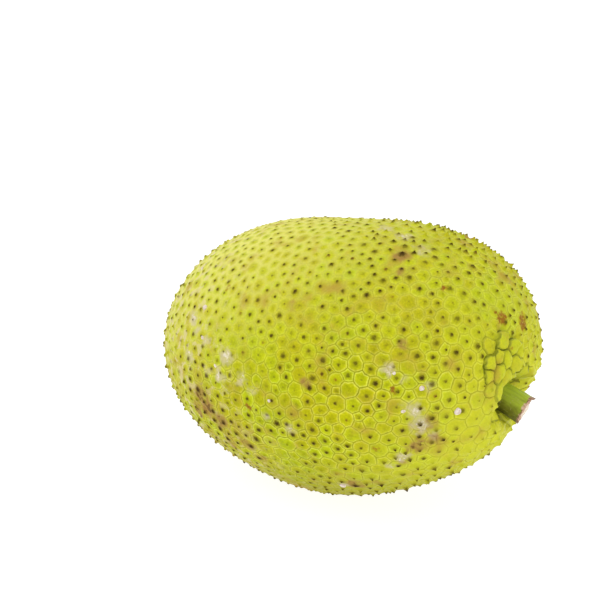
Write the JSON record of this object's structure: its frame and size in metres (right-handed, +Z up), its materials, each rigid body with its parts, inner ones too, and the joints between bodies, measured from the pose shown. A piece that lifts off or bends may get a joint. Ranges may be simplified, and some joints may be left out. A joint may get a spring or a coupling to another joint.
{
  "type": "breadfruit",
  "caption": "Whole breadfruit lying on its side on a small flat, with the cut stub of its stalk in a puckered hollow at one end.",
  "frame": {"origin": "middle of the small flat underneath that the fruit rests on", "axes": "+X along the fruit towards its stalk, +Z up out of the flat that it rests on, +Y to the left of someone facing +X"},
  "size_m": [0.1861, 0.1341, 0.1291],
  "materials": {
    "skin": "satin living rind of polygonal cells, yellow green, with dried brown tips and dried white latex",
    "stalk": "satin green bark with pale pores, and a fibrous cream cut face with a torn brown rim"
  },
  "bodies": {
    "root": {"fruit": "skin", "stalk": "stalk"}
  },
  "joints": []
}
